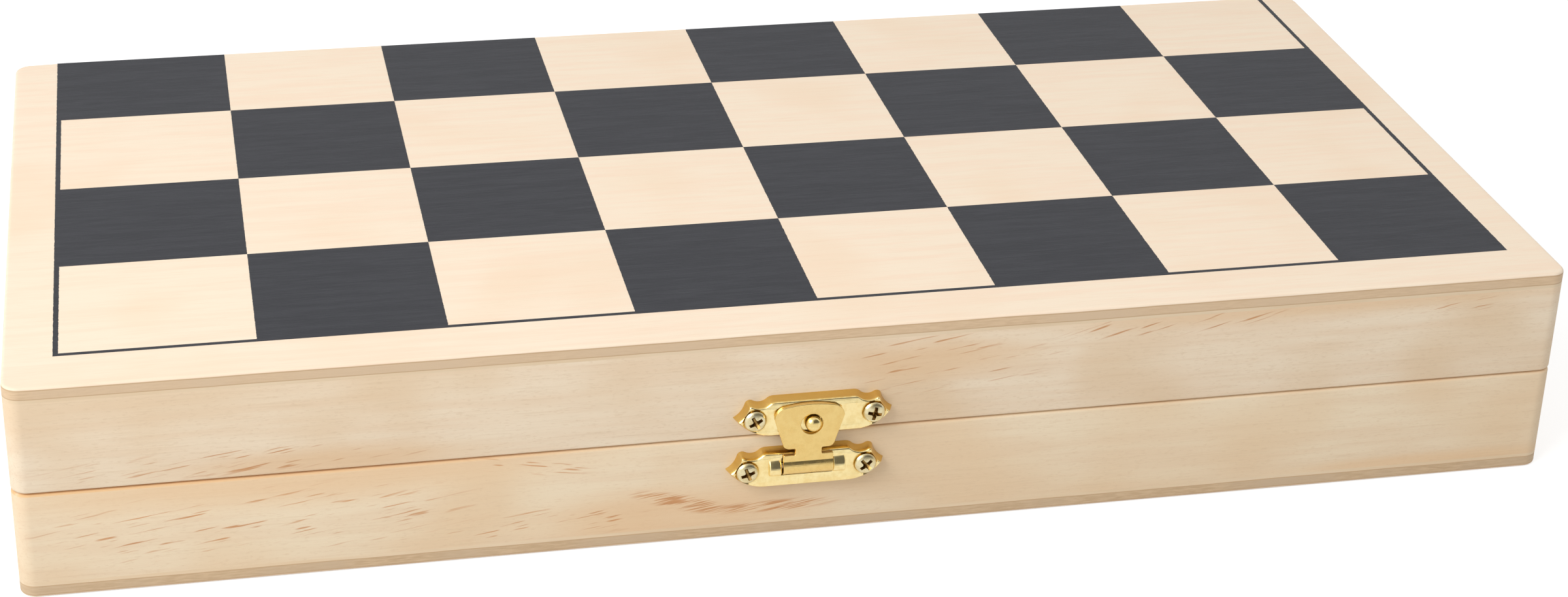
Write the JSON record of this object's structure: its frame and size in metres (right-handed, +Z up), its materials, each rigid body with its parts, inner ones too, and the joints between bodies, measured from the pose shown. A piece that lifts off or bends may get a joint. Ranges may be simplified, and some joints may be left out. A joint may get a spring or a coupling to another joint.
{
  "type": "folding chess board box",
  "caption": "Folding wooden chess board whose hinged trays close to a shallow box, with printed squares outside and a pressed brass latch in front.",
  "frame": {"origin": "centre of the wooden underside that the closed box rests on", "axes": "+X along the length, to the right seen from the latch side; +Y from the latch side to the hinges; +Z up"},
  "size_m": [0.29, 0.1508, 0.0423],
  "materials": {
    "veneer": "satin",
    "black_print": "matte",
    "pine": "satin",
    "pressed_brass": "polished",
    "tongue_brass": "satin",
    "screw_brass": "satin",
    "hinge_brass": "satin",
    "pin_steel": "satin"
  },
  "bodies": {
    "base": {"hinge_left_lower_leaf": "hinge_brass", "hinge_left_pin": "pin_steel", "hinge_lower_screws": "screw_brass", "hinge_right_lower_leaf": "hinge_brass", "hinge_right_pin": "pin_steel", "latch_base_plate": "pressed_brass", "latch_base_screws": "screw_brass", "latch_pin": "pin_steel", "lower_back_rail": "pine", "lower_front_rail": "pine", "lower_left_rail": "pine", "lower_panel": "veneer", "lower_print": "black_print", "lower_right_rail": "pine"},
    "lid": {"hinge_left_upper_leaf": "hinge_brass", "hinge_right_upper_leaf": "hinge_brass", "hinge_upper_screws": "screw_brass", "keeper_plate": "pressed_brass", "keeper_screws": "screw_brass", "keeper_stud": "pressed_brass", "upper_back_rail": "pine", "upper_front_rail": "pine", "upper_left_rail": "pine", "upper_panel": "veneer", "upper_print": "black_print", "upper_right_rail": "pine"},
    "tongue": {"latch_tongue": "tongue_brass"}
  },
  "joints": [
    {"name": "lid_hinge", "type": "hinge", "parent": "base", "child": "lid", "pos_m": [0, 0.07265, 0.02115], "axis": [-1, 0, 0], "range_deg": [0, 180]},
    {"name": "tongue_hinge", "type": "hinge", "parent": "base", "child": "tongue", "pos_m": [-0.0031, -0.07415, 0.01546], "axis": [1, 0, 0], "range_deg": [0, 100]}
  ]
}
